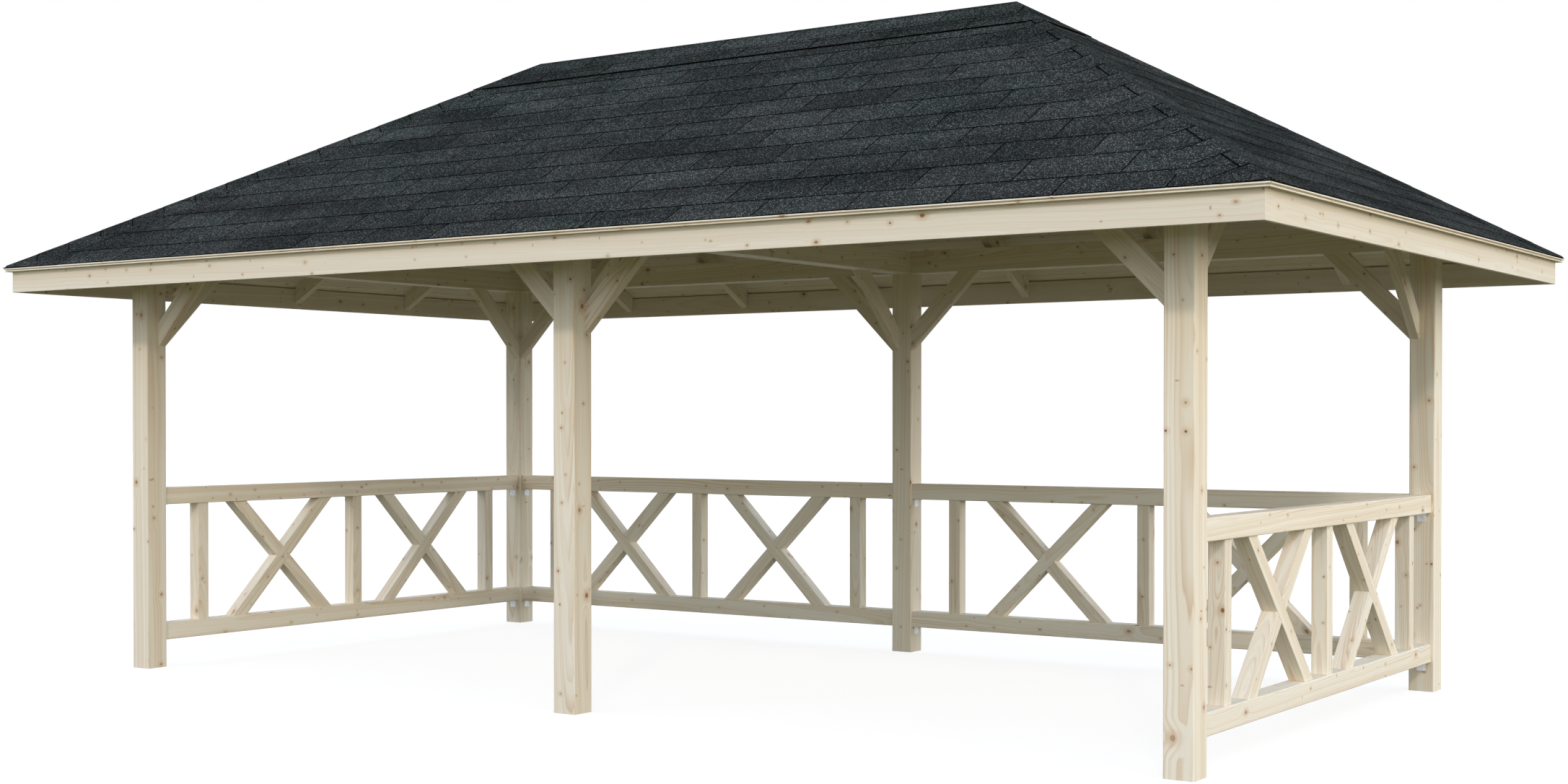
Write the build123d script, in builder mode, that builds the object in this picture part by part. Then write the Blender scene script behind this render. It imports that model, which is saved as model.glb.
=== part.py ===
"""A hip-roofed garden gazebo of planed timber: six posts, beams, braces, railings on three sides."""
import os
from math import cos, radians, sqrt, tan

from build123d import *

os.makedirs("parts", exist_ok=True)

# Posts, on a grid of two bays along the front and one bay deep
post_side = 120
post_height = 2092
post_arris = 6
bay_length = 2867
bay_depth = 2867

# Beams on top of the posts
beam_width = 120
beam_height = 120
beam_arris = 3

# Braces at 45 degrees, flush with the inner faces of the posts but for a small setback
brace_width = 88
brace_thickness = 44
brace_drop = 424
brace_setback = 2
brace_arris = 2

# Railing panels between the posts
rail_width = 88
rail_height = 87
rail_ground_gap = 139
rail_spread = 619
rail_arris = 3
baluster_side = 68
baluster_arris = 3
baluster_spacing_share = 0.405
cross_width = 68
cross_thickness = 68

# Steel angle brackets under the rail ends
bracket_width = 42
bracket_leg = 41
bracket_thickness = 2.5
bracket_bend = 2

# Roof frame
roof_pitch = 30
rafter_width = 44
rafter_depth = 82
birdsmouth_depth = 10
hip_width = 44
jack_offset = 898
ridge_board_width = 44
ridge_board_depth = 140
common_offset = 500

# Eaves and covering
fascia_overhang = 416
fascia_height = 118
fascia_thickness = 18
deck_thickness = 18
deck_overhang = 29
shingle_thickness = 5.5
shingle_overhang = 4
ridge_cap_thickness = 9
ridge_cap_reach = 240

# Places that follow from the sizes above
half_length = bay_length + post_side / 2
half_depth = (bay_depth + post_side) / 2
beam_top = post_height + beam_height
ridge_half = half_length - half_depth
slope_rise = tan(radians(roof_pitch))
slope_stretch = 1 / cos(radians(roof_pitch))
rafter_plumb = rafter_depth * slope_stretch
hip_run = half_depth + fascia_overhang
fascia_top = beam_top - birdsmouth_depth + rafter_plumb - fascia_overhang * slope_rise
fascia_bottom = fascia_top - fascia_height
ridge_underside = fascia_top + hip_run * slope_rise
roof_top = ridge_underside + (deck_thickness + shingle_thickness + ridge_cap_thickness) * slope_stretch
post_columns = {"left": -bay_length, "middle": 0, "right": bay_length}
post_rows = {"front": -bay_depth / 2, "back": bay_depth / 2}

# The four slopes: the way each one faces, and its post line's distance from the middle
slope_turns = {"front": 0, "right": 90, "back": 180, "left": 270}
slope_halves = {"front": half_depth, "right": half_length, "back": half_depth, "left": half_length}


def save(piece, name):
    """Labels one finished sub-part and writes it."""
    piece.part.label = name
    export_step(piece.part, f"parts/{name}.step")


def outward(side):
    """The level direction in which a slope falls."""
    return Vector(0, -1, 0).rotate(Axis.Z, slope_turns[side])


def along(side):
    """The level direction along a slope's eave."""
    return Vector(1, 0, 0).rotate(Axis.Z, slope_turns[side])


def slope_plan(side, inset=0):
    """Plan of one slope out past its eave, bounded by the hips and, on a long slope, by the ridge.

    The inset moves both hip lines inwards, square to themselves.
    """
    reach = 2 * half_depth
    narrowing = inset * sqrt(2)
    out = outward(side)
    way = along(side)
    if slope_halves[side] == half_depth:
        top = ridge_half - narrowing
        start = Vector(0, 0, 0)
    else:
        top = 0
        start = out * (ridge_half + narrowing)
    foot = start + out * reach
    corners = [start - way * top, foot - way * (top + reach), foot + way * (top + reach)]
    if top:
        corners.append(start + way * top)
    return [(corner.X, corner.Y) for corner in corners]


def slope_layer(side, base, thickness, low, high):
    """A slab on one slope, from low to high up the slope, mitred at the hips and plumb at the ridge.

    Heights up the slope start at the outer top edge of the fascia; base is the height above the deck's underside.
    """
    out = outward(side)
    edge = out * (slope_halves[side] + fascia_overhang) + Vector(0, 0, fascia_top)
    square = out.rotate(Axis(origin=(0, 0, 0), direction=along(side)), roof_pitch - 90)
    slope = Plane(origin=edge, x_dir=along(side), z_dir=square).offset(base)
    with BuildPart() as layer:
        with BuildSketch(slope):
            with Locations((0, low)):
                Rectangle(2 * (half_length + hip_run), high - low, align=(Align.CENTER, Align.MIN))
        extrude(amount=thickness)
        with BuildSketch(Plane.XY):
            Polygon(*slope_plan(side), align=None)
        extrude(amount=2 * roof_top, mode=Mode.INTERSECT)
    return layer


def rafter_outline(side, end):
    """Side view of a rafter, from the fascia's inner face to a plumb cut at end, measured from the middle."""
    eave = slope_halves[side] + fascia_overhang
    foot = eave - fascia_thickness
    foot_top = fascia_top + fascia_thickness * slope_rise
    end_top = fascia_top + (eave - end) * slope_rise
    Polygon(
        (foot, foot_top - rafter_plumb),
        (foot, foot_top),
        (end, end_top),
        (end, end_top - rafter_plumb),
        align=None,
    )


def rafter_plane(side, offset):
    """Upright plane square to the eave, with its first axis pointing outwards."""
    out = outward(side)
    return Plane(origin=along(side) * offset, x_dir=out, z_dir=out.cross(Vector(0, 0, 1)))


def brace_outline(face, way):
    """Side view of one brace, from a post's face up to the underside of the beam."""
    foot = post_height - brace_drop
    cut = brace_width * sqrt(2)
    Polygon(
        (face, foot),
        (face + way * brace_drop, post_height),
        (face + way * (brace_drop - cut), post_height),
        (face, foot + cut),
        align=None,
    )


def cross_outline(middle, lean):
    """Face view of one diagonal at 45 degrees, cut level where it meets the rails."""
    run = lean * rail_spread / 2
    cut = cross_width / sqrt(2)
    foot = rail_ground_gap + rail_height
    Polygon(
        (middle - run - cut, foot),
        (middle - run + cut, foot),
        (middle + run + cut, foot + rail_spread),
        (middle + run - cut, foot + rail_spread),
        align=None,
    )


# Posts
for row, y in post_rows.items():
    for column, x in post_columns.items():
        with BuildPart() as post:
            with BuildSketch(Plane.XY):
                with Locations((x, y)):
                    RectangleRounded(post_side, post_side, post_arris)
            extrude(amount=post_height)
        save(post, f"post_{row}_{column}")

# Long beams over the front and back posts, with their outer faces in line with the posts
long_beam_places = {"front": beam_width / 2 - half_depth, "back": half_depth - beam_width / 2}
for row, y in long_beam_places.items():
    with BuildPart() as long_beam:
        with Locations((0, y, post_height)):
            Box(2 * half_length, beam_width, beam_height, align=(Align.CENTER, Align.CENTER, Align.MIN))
        chamfer(long_beam.edges().filter_by(Axis.X), beam_arris)
    save(long_beam, f"beam_{row}")

# Side beams and the middle tie, between the long beams
cross_beam_places = {"left": beam_width / 2 - half_length, "middle": 0, "right": half_length - beam_width / 2}
cross_beam_length = 2 * (half_depth - beam_width)
for column, x in cross_beam_places.items():
    with BuildPart() as cross_beam:
        with Locations((x, 0, post_height)):
            Box(beam_width, cross_beam_length, beam_height, align=(Align.CENTER, Align.CENTER, Align.MIN))
        chamfer(cross_beam.edges().filter_by(Axis.Y), beam_arris)
    save(cross_beam, f"beam_{column}")

# Braces along the front and back, one or two to a post
brace_depth = post_side / 2 - brace_setback - brace_thickness / 2
for row, y in post_rows.items():
    inward = -1 if y > 0 else 1
    with BuildPart() as row_braces:
        with BuildSketch(Plane.XZ.offset(-y - inward * brace_depth)):
            for x in post_columns.values():
                if x < bay_length:
                    brace_outline(x + post_side / 2, 1)
                if x > -bay_length:
                    brace_outline(x - post_side / 2, -1)
        extrude(amount=brace_thickness / 2, both=True)
        chamfer(row_braces.edges().filter_by(lambda edge: edge.length > 2 * brace_width), brace_arris)
    save(row_braces, f"braces_{row}")

# Braces along the sides and under the tie, one to a post
for column, x in post_columns.items():
    inward = 1 if x < 0 else -1
    with BuildPart() as column_braces:
        with BuildSketch(Plane.YZ.offset(x + inward * brace_depth)):
            for y in post_rows.values():
                way = -1 if y > 0 else 1
                brace_outline(y + way * post_side / 2, way)
        extrude(amount=brace_thickness / 2, both=True)
        chamfer(column_braces.edges().filter_by(lambda edge: edge.length > 2 * brace_width), brace_arris)
    save(column_braces, f"braces_{column}")

# Railing panels: two rails, with three balusters and two crosses between them
across = Plane(origin=(0, bay_depth / 2, 0), x_dir=(1, 0, 0), z_dir=(0, -1, 0))
upright = Plane(origin=(0, 0, 0), x_dir=(0, 1, 0), z_dir=(1, 0, 0))
panels = {
    "left": (upright.offset(-bay_length), 0, bay_depth - post_side, Axis.Y),
    "right": (upright.offset(bay_length), 0, bay_depth - post_side, Axis.Y),
    "back_left": (across, -bay_length / 2, bay_length - post_side, Axis.X),
    "back_right": (across, bay_length / 2, bay_length - post_side, Axis.X),
}
rail_floors = (rail_ground_gap, rail_ground_gap + rail_height + rail_spread)
for panel, (plane, middle, length, run) in panels.items():
    with BuildPart() as rails:
        with BuildSketch(plane):
            for floor in rail_floors:
                with Locations((middle, floor)):
                    Rectangle(length, rail_height, align=(Align.CENTER, Align.MIN))
        extrude(amount=rail_width / 2, both=True)
        chamfer(rails.edges().filter_by(run), rail_arris)
    save(rails, f"railing_{panel}_rails")

    spacing = length * baluster_spacing_share
    with BuildPart() as infill:
        with BuildSketch(plane):
            with Locations((middle, rail_ground_gap + rail_height + rail_spread / 2)):
                with GridLocations(spacing, 0, 3, 1):
                    Rectangle(baluster_side, rail_spread)
        extrude(amount=baluster_side / 2, both=True)
        chamfer(infill.edges().filter_by(Axis.Z), baluster_arris)
        with BuildSketch(plane):
            for side in (-1, 1):
                for lean in (-1, 1):
                    cross_outline(middle + side * spacing / 2, lean)
        extrude(amount=cross_thickness / 2, both=True)
    save(infill, f"railing_{panel}_infill")

# Brackets of bent steel strip that hold the rail ends to the posts
half_sheet = bracket_thickness / 2
with BuildPart() as rail_brackets:
    for plane, middle, length, run in panels.values():
        with BuildSketch(plane):
            for floor in rail_floors:
                for way in (-1, 1):
                    face = middle - way * length / 2
                    with BuildLine():
                        FilletPolyline(
                            (face + way * bracket_leg, floor - half_sheet),
                            (face + way * half_sheet, floor - half_sheet),
                            (face + way * half_sheet, floor - bracket_leg),
                            radius=bracket_bend + half_sheet,
                        )
                    trace(line_width=bracket_thickness)
        extrude(amount=bracket_width / 2, both=True)
save(rail_brackets, "rail_brackets")

# The space under the roof boards and inside the fascia, which trims the hips and the ridge board
inner_x = half_length + fascia_overhang - fascia_thickness
inner_y = half_depth + fascia_overhang - fascia_thickness
inner_edge = fascia_top + fascia_thickness * slope_rise
with BuildPart() as roof_space:
    with BuildSketch(Plane.YZ):
        Polygon((-inner_y, 0), (inner_y, 0), (inner_y, inner_edge), (0, ridge_underside),
                (-inner_y, inner_edge), align=None)
    extrude(amount=inner_x, both=True)
    with BuildSketch(Plane.XZ):
        Polygon((-inner_x, 0), (inner_x, 0), (inner_x, inner_edge), (ridge_half, ridge_underside),
                (-ridge_half, ridge_underside), (-inner_x, inner_edge), align=None)
    extrude(amount=inner_y, both=True, mode=Mode.INTERSECT)

# Common and jack rafters on each slope, notched over the beams
for side in slope_turns:
    if slope_halves[side] == half_depth:
        commons = (-ridge_half, -common_offset, common_offset, ridge_half)
        jacks = (-ridge_half - jack_offset, ridge_half + jack_offset)
        end = ridge_board_width / 2
    else:
        commons = (0,)
        jacks = (-jack_offset, jack_offset)
        end = ridge_half + rafter_width / 2
    with BuildPart() as rafters:
        for place in jacks:
            with BuildSketch(rafter_plane(side, place)):
                rafter_outline(side, end)
            extrude(amount=rafter_width / 2, both=True)
        with BuildSketch(Plane.XY):
            Polygon(*slope_plan(side, hip_width / 2), align=None)
        extrude(amount=2 * roof_top, mode=Mode.INTERSECT)
        for place in commons:
            with BuildSketch(rafter_plane(side, place)):
                rafter_outline(side, end)
            extrude(amount=rafter_width / 2, both=True)
        Box(2 * half_length, 2 * half_depth, beam_top, align=(Align.CENTER, Align.CENTER, Align.MIN),
            mode=Mode.SUBTRACT)
    save(rafters, f"rafters_{side}")

# Ridge board between the rafters, its top edge bevelled to both slopes
with BuildPart() as ridge_board:
    with Locations((0, 0, ridge_underside)):
        Box(2 * ridge_half + rafter_width, ridge_board_width, ridge_board_depth,
            align=(Align.CENTER, Align.CENTER, Align.MAX))
    add(roof_space.part, mode=Mode.INTERSECT)
save(ridge_board, "ridge_board")

# Hip rafters: backed on top, pointed at both ends and notched over the corner of the beams
hip_slope = slope_rise / sqrt(2)
hip_reach = hip_run * sqrt(2)
with BuildPart() as hip_rafters:
    for way_x in (-1, 1):
        for way_y in (-1, 1):
            level = Vector(way_x, way_y, 0).normalized()
            hip_plane = Plane(origin=(way_x * ridge_half, 0, 0), x_dir=level, z_dir=level.cross(Vector(0, 0, 1)))
            with BuildSketch(hip_plane):
                Polygon((0, ridge_underside), (0, ridge_underside - rafter_plumb),
                        (hip_reach, fascia_top - rafter_plumb), (hip_reach, fascia_top), align=None)
            extrude(amount=hip_width / 2, both=True)
    add(roof_space.part, mode=Mode.INTERSECT)
    Box(2 * half_length, 2 * half_depth, beam_top, align=(Align.CENTER, Align.CENTER, Align.MIN),
        mode=Mode.SUBTRACT)
    Box(2 * ridge_half + rafter_width, 2 * half_depth, 2 * roof_top, mode=Mode.SUBTRACT)
    Box(2 * inner_x, rafter_width, 2 * roof_top, mode=Mode.SUBTRACT)
save(hip_rafters, "hip_rafters")

# Fascia boards round the eaves, mitred at the corners
for side in slope_turns:
    board_place = outward(side) * (slope_halves[side] + fascia_overhang)
    board_plane = Plane(origin=board_place + Vector(0, 0, fascia_bottom), x_dir=along(side), z_dir=(0, 0, 1))
    with BuildPart() as fascia:
        with BuildSketch(board_plane):
            Rectangle(2 * (half_length + fascia_overhang), fascia_thickness, align=(Align.CENTER, Align.MIN))
        extrude(amount=fascia_height)
        with BuildSketch(Plane.XY):
            Polygon(*slope_plan(side), align=None)
        extrude(amount=roof_top, mode=Mode.INTERSECT)
    save(fascia, f"fascia_{side}")

# Roof boards and the shingles on them, one sheet of each to a slope
slope_length = hip_run * slope_stretch + deck_thickness + shingle_thickness + ridge_cap_thickness
for side in slope_turns:
    roof_deck = slope_layer(side, 0, deck_thickness, -deck_overhang, slope_length)
    save(roof_deck, f"roof_deck_{side}")
    eave = -deck_overhang - shingle_overhang
    shingles = slope_layer(side, deck_thickness, shingle_thickness, eave, slope_length)
    save(shingles, f"shingles_{side}")

# Ridge cap: a hipped tent of thicker capping over the ridge and the tops of all four slopes
cap_low = (hip_run - ridge_cap_reach) * slope_stretch
cap_base = deck_thickness + shingle_thickness
cap_sides = [slope_layer(side, cap_base, ridge_cap_thickness, cap_low, slope_length) for side in slope_turns]
with BuildPart() as ridge_cap:
    for cap_side in cap_sides:
        add(cap_side.part)
save(ridge_cap, "ridge_cap")
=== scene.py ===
"""Looks of the garden gazebo: planed spruce posts, rails and roof frame under a shingled hip roof."""
import math
import random

import bmesh
import bpy
import numpy as np
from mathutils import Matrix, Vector


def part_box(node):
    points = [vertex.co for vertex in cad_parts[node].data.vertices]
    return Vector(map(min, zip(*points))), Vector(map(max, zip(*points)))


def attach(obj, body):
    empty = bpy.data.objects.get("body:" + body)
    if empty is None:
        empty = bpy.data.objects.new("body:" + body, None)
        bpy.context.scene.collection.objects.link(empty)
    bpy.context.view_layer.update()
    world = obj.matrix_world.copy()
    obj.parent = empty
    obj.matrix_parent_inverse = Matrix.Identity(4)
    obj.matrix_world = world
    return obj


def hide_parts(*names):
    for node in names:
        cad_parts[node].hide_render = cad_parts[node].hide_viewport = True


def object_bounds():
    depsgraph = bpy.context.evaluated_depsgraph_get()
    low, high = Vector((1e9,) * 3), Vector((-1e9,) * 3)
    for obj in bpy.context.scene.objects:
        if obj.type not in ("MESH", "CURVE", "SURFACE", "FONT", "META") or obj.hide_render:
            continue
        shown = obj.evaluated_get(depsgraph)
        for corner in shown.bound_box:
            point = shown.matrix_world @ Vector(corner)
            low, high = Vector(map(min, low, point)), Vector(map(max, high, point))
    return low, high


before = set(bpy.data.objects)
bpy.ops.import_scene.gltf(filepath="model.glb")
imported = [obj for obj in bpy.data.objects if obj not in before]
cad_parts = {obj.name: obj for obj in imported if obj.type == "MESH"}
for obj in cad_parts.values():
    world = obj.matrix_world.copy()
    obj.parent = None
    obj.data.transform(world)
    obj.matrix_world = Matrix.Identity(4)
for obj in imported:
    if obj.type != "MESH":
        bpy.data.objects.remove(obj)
cad_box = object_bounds()
straight_up = Vector((0, 0, 1))

# Camera, in metres, degrees and millimetres of sensor
camera_place = (5.7501, -8.2292, 1.2904)
camera_pitch = 89.42
camera_yaw = 34.51
camera_lens = 46.288
camera_sensor = 36.0
camera_shift = (0.00599, 0.03014)

# Light: each lamp's azimuth from the front to the right, elevation and size in degrees, strength and colour
lamps = {
    "right_key": (29.0, 29.4, 4.0, 0.63, (1.0, 0.83, 0.69)),
    "left_key": (-29.0, 29.4, 4.0, 0.276, (1.0, 0.77, 0.63)),
    "right_soft": (80.0, 8.0, 55.0, 1.6, (1.0, 0.84, 0.65)),
}
studio_white = (1, 1, 1, 1)
dome_low = (1.23, 1.29, 1.31, 1)
dome_high = (0.758, 1.0, 1.437, 1)
dome_blend = (0.3, 0.85)
floor_reach = 60.0
floor_glow = 0.85
floor_seen_grey = 0.2
floor_bounce = (0.120, 0.108, 0.046, 1)

# Timber, in metres
arris = 0.002
board_arris = 0.0015
arris_segments = 2
arris_profile = 0.5
weld_distance = 0.00002
flat_angle = math.radians(0.6)
sharp_angle = math.radians(25)
upright_share = 0.9
pith_near = 0.02
pith_far = 0.11
grain_run_out = 0.05
grain_lean_share = 0.02
seed_spread = 40.0
sort_digits = 3

# Range of the timbers' tones, and of the strength of their figure
timber_looks = ((0.96, 1.04), (0.8, 1.1))
# the fascia boards' tones are set lower than the other timbers', as painted shade under the eave
fascia_shaded_looks = ((0.88, 0.94), (0.3, 0.5))
deck_looks = ((0.95, 1.03), (0.4, 0.8))

# Railing infill
rail_height = 0.087
baluster_side = 0.068
baluster_spacing_share = 0.405
cross_width = 0.068
joint_gap = 0.0004

# Roof layers, in metres, square to the slope from the underside of the boards
roof_pitch = math.radians(30)
deck_thickness = 0.018
deck_overhang = 0.029
shingle_layer = 0.0055
shingle_overhang = 0.004
ridge_cap_layer = 0.009
ridge_cap_reach = 0.240

# Tongue-and-groove roof boards
board_count = 24
board_gap = 0.0004
eave_mitre_gap = 0.0016
board_chamfer = 0.0025
groove_low = 0.0062
groove_high = 0.0118
groove_depth = 0.0075
tongue_slack = 0.0004
tongue_length = 0.006
lip_steps = 8

# Shingles, their courses and their slots
tab_width = 0.424
slot_width = 0.007
first_exposure = 0.153
exposure = 0.1905
course_overlap = 0.055
sheet = 0.0021
sheet_rise = 0.0024
sheet_seat = 0.0003
underlay = 0.0002
slot_phases = (0.043, 0.243)
eave_setback = 0.003
tab_jitter = 0.0025
lift_jitter = 0.0006

# Shingles' tones: each tab's range, and each kind of slope's painted shade and the share of the tone on cut
# edges. The end slopes are painted darker as shade, and their cut edges lighter than the long slopes' as
# painted highlight
tab_tones = (0.78, 1.18)
long_slope_looks = (1.0, 0.3)
end_slope_painted_looks = (0.92, 0.5)
# the underlay's tone: dark felt, painted darker still as the shade in the slots and under the ridge cap's
# edge
underlay_shade_tone = 0.3
plain_hue = 0.5

# Caps folded over the hips
hip_cap_half = 0.212
hip_cap_exposure = 0.169
hip_cap_overlap = 0.05
hip_cap_rise = 0.002
hip_edge_seat_share = 0.8
hip_edge_skirt = 0.004
hip_slot_place = 0.035
hip_slot_width = 0.009
hip_top_cover = 0.02
# thin dark strips painted as the shade in the hip caps' joints and slots
shade_strip_width = 0.006
shade_strip_height = 0.0004
shade_strip_tone = 0.15

# Ridge cap
cap_board = 0.005
cap_board_inset = 0.012
cap_course = 0.126
cap_course_overlap = 0.03
cap_sheet = 0.0018
cap_phases = (0.031, 0.243)

# Screws in the rail brackets, with each ring's shares of the head's radius and height
screw_radius = 0.004
screw_height = 0.0016
screw_sides = 16
screw_ring_shares = ((1.0, 0.0), (1.0, 0.35), (0.8, 1.0), (0.42, 1.0), (0.294, 0.3))
screw_spread_share = 0.27
bracket_thickness = 0.0025

# Frame sizes read from the CAD nodes, and places that follow from them
fascia_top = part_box("fascia_front")[1].z
eave_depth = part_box("fascia_back")[1].y
eave_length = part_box("fascia_right")[1].x
ridge_half = eave_length - eave_depth
pitch_cos = math.cos(roof_pitch)
pitch_sin = math.sin(roof_pitch)
hip_unit = math.sqrt(1 + pitch_cos ** 2)
fold_up = 1 / hip_unit
fold_along = pitch_cos / hip_unit
shingle_top = deck_thickness + shingle_layer
shingle_eave = eave_setback - deck_overhang
ridge_cap_low = (eave_depth - ridge_cap_reach) / pitch_cos
first_course_up = first_exposure + shingle_eave
first_course_height = fascia_top + first_course_up * pitch_sin + shingle_top * pitch_cos


class Graph:
    """Builds one node tree with short calls, most of which give back an output socket.

    The sockets of a mix node share their names, so they are called by number.
    """

    def __init__(self, tree):
        self.tree = tree
        self.tree.nodes.clear()

    def node(self, kind, inputs=None, **settings):
        made = self.tree.nodes.new(kind)
        for name, value in settings.items():
            setattr(made, name, value)
        for key, value in (inputs or {}).items():
            if isinstance(value, bpy.types.NodeSocket):
                self.tree.links.new(value, made.inputs[key])
            else:
                made.inputs[key].default_value = value
        return made

    def math(self, operation, *values):
        return self.node("ShaderNodeMath", dict(enumerate(values)), operation=operation).outputs[0]

    def product(self, first, *others):
        for value in others:
            first = self.math("MULTIPLY", first, value)
        return first

    def vector(self, operation, *values):
        made = self.node("ShaderNodeVectorMath", dict(enumerate(values)), operation=operation)
        return made.outputs["Value" if operation == "LENGTH" else "Vector"]

    def stretch(self, vector, scale):
        return self.vector("MULTIPLY", vector, scale)

    def parts(self, vector):
        return self.node("ShaderNodeSeparateXYZ", {0: vector}).outputs

    def join(self, *values):
        return self.node("ShaderNodeCombineXYZ", dict(enumerate(values))).outputs[0]

    def noise(self, vector, scale=1.0, detail=2.0, output=0):
        inputs = {"Vector": vector, "Scale": scale, "Detail": detail}
        return self.node("ShaderNodeTexNoise", inputs).outputs[output]

    def span(self, value, low, high, to_low=0.0, to_high=1.0, smooth=True):
        inputs = {"Value": value, "From Min": low, "From Max": high, "To Min": to_low, "To Max": to_high}
        kind = "SMOOTHSTEP" if smooth else "LINEAR"
        return self.node("ShaderNodeMapRange", inputs, interpolation_type=kind).outputs[0]

    def either(self, factor, first, second):
        return self.node("ShaderNodeMix", {0: factor, 2: first, 3: second}).outputs[0]

    def mix(self, factor, first, second, blend="MIX"):
        inputs = {0: factor, 6: first, 7: second}
        return self.node("ShaderNodeMix", inputs, data_type="RGBA", blend_type=blend).outputs[2]

    def layered(self, colour, layers):
        for strength, tint in layers:
            colour = self.mix(strength, colour, tint)
        return colour

    def shaded(self, colour, level):
        grey = self.node("ShaderNodeCombineColor", {0: level, 1: level, 2: level}).outputs[0]
        return self.mix(1.0, colour, grey, "MULTIPLY")

    def ramp(self, factor, stops):
        made = self.node("ShaderNodeValToRGB", {0: factor})
        elements = made.color_ramp.elements
        while len(elements) < len(stops):
            elements.new(1.0)
        for element, (place, level) in zip(elements, stops):
            element.position = place
            element.color = (level, level, level, 1.0)
        return made.outputs[0]

    def attribute(self, name, output):
        return self.node("ShaderNodeAttribute", attribute_name=name).outputs[output]

    def cells(self, vector, scale, dimensions="3D"):
        inputs = {"Vector": vector, "Scale": scale}
        return self.node("ShaderNodeTexVoronoi", inputs, voronoi_dimensions=dimensions, feature="F1").outputs

    def chances(self, cells):
        return self.node("ShaderNodeSeparateColor", {0: cells["Color"]}).outputs

    def surface(self, shader):
        self.node("ShaderNodeOutputMaterial", {"Surface": shader})

    def principled(self, colour, roughness, bump, **inputs):
        inputs = {name.replace("_", " "): value for name, value in inputs.items()}
        inputs.update({"Base Color": colour, "Roughness": roughness, "Normal": bump})
        return self.node("ShaderNodeBsdfPrincipled", inputs).outputs[0]

    def bump(self, height, strength, distance):
        inputs = {"Height": height, "Strength": strength, "Distance": distance}
        return self.node("ShaderNodeBump", inputs).outputs[0]


def new_material(name):
    """An empty node material and its graph."""
    material = bpy.data.materials.new(name)
    material.use_nodes = True
    return material, Graph(material.node_tree)


# Round knots: a cell along and across the grain holds one at most, and the shares are of the knot's radius
knot_cell = (0.42, 0.105)
knot_chance = 0.56
knot_size_chances = (0.52, 1.0)
knot_radii = (0.0, 0.0085)
knot_least_radius = 0.0001
knot_squeeze = (0.62, 1.0, 0.0)
knot_edge_shares = (1.15, 0.6)
knot_strengths = (0.5, 0.95)
knot_colour = (0.25, 0.125, 0.06, 1)
knot_halo_shares = (3.6, 0.8)
knot_halo_strength = 0.5
knot_halo_colour = (0.56, 0.37, 0.20, 1)
knot_swell_reach = 0.055
knot_swell = 1.5

# Pin knots
pin_cell = (0.16, 0.065)
pin_shift = 7.3
pin_chance = 0.6
pin_radii = (0.0018, 0.0048)
pin_squeeze = (0.75, 1.0, 0.0)
pin_edge_shares = (1.2, 0.45)
pin_strength_chances = (0.65, 1.0)
pin_strengths = (0.5, 0.95)
pin_colour = (0.16, 0.08, 0.042, 1)
pin_halo_shares = (4.5, 1.0)
pin_halo_strength = 0.4
pin_halo_colour = (0.60, 0.40, 0.22, 1)

# Spike knots, cut along a branch
spike_cell = (0.36, 0.16)
spike_shift = 3.1
spike_chance = 0.66
spike_reach = (0.0065, 0.0105)
spike_size_shares = (0.5, 1.0)
spike_edge_shares = (1.25, 0.35)
spike_strength = 0.62
spike_colour = (0.40, 0.235, 0.115, 1)

# Year rings: lengths in metres, and the pace of each noise along and across the grain
ring_width = 0.0075
ring_stops = ((0.0, 0.0), (0.4, 0.06), (0.76, 0.62), (0.9, 1.0), (1.0, 0.0))
ring_plane = (0.0, 1.0, 1.0)
ring_detail = 1.0
bend_pace = (1.1, 4.5, 4.5)
bend_detail = 1.5
bend_middle = (0.5, 0.5, 0.5)
bend_reach = (0.0, 0.035, 0.035)
wander_pace = (1.5, 34.0, 34.0)
wander_reach = 0.0045
year_pace = (62.0, 90.0, 1.0)
year_levels = (0.36, 0.66)
year_clarities = (0.45, 1.0)
year_strength = 0.75
clarity_pace = (0.9, 14.0, 14.0)
clarity_levels = (0.34, 0.66)
clarities = (0.28, 0.9)

# Spruce between its knots and rings
fibre_pace = (5.0, 420.0, 420.0)
fibre_levels = (0.35, 0.75)
fibre_strengths = (0.0, 0.14)
wood_pale = (0.832, 0.795, 0.69, 1)
wood_warm = (0.765, 0.678, 0.538, 1)
wood_late = (0.61, 0.465, 0.31, 1)
wood_fibre = (0.63, 0.54, 0.41, 1)
wood_roughness = (0.68, 0.55)
wood_bump = (0.2, 0.0005)
wood_gloss = 0.15


def knot_field(graph, place, cell, shift):
    """Scattered knot centres on a face: the way to the nearest in metres, and two chances of its own."""
    scaled = graph.vector("ADD", graph.stretch(place, (1 / cell[0], 1 / cell[1], 1.0)), (shift, 0.0, 0.0))
    cells = graph.cells(scaled, 1.0, "2D")
    away = graph.vector("SUBTRACT", scaled, cells["Position"])
    chances = graph.chances(cells)
    return graph.stretch(away, (cell[0], cell[1], 0.0)), chances[0], chances[1]


def round_knots(graph, face):
    """Brown knots, the stain round them and how far they push the year rings out."""
    offset, chance, other = knot_field(graph, face, knot_cell, 0.0)
    radius = graph.span(chance, *knot_size_chances, *knot_radii, smooth=False)
    distance = graph.vector("LENGTH", graph.stretch(offset, knot_squeeze))
    ratio = graph.math("DIVIDE", distance, graph.math("MAXIMUM", radius, knot_least_radius))
    there = graph.math("GREATER_THAN", chance, knot_chance)
    strength = graph.span(other, 0.0, 1.0, *knot_strengths)
    core = graph.product(graph.span(ratio, *knot_edge_shares), there, strength)
    halo = graph.product(graph.span(ratio, *knot_halo_shares), there)
    swell = graph.product(graph.span(distance, knot_swell_reach, 0.0), radius)
    return core, halo, swell


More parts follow.
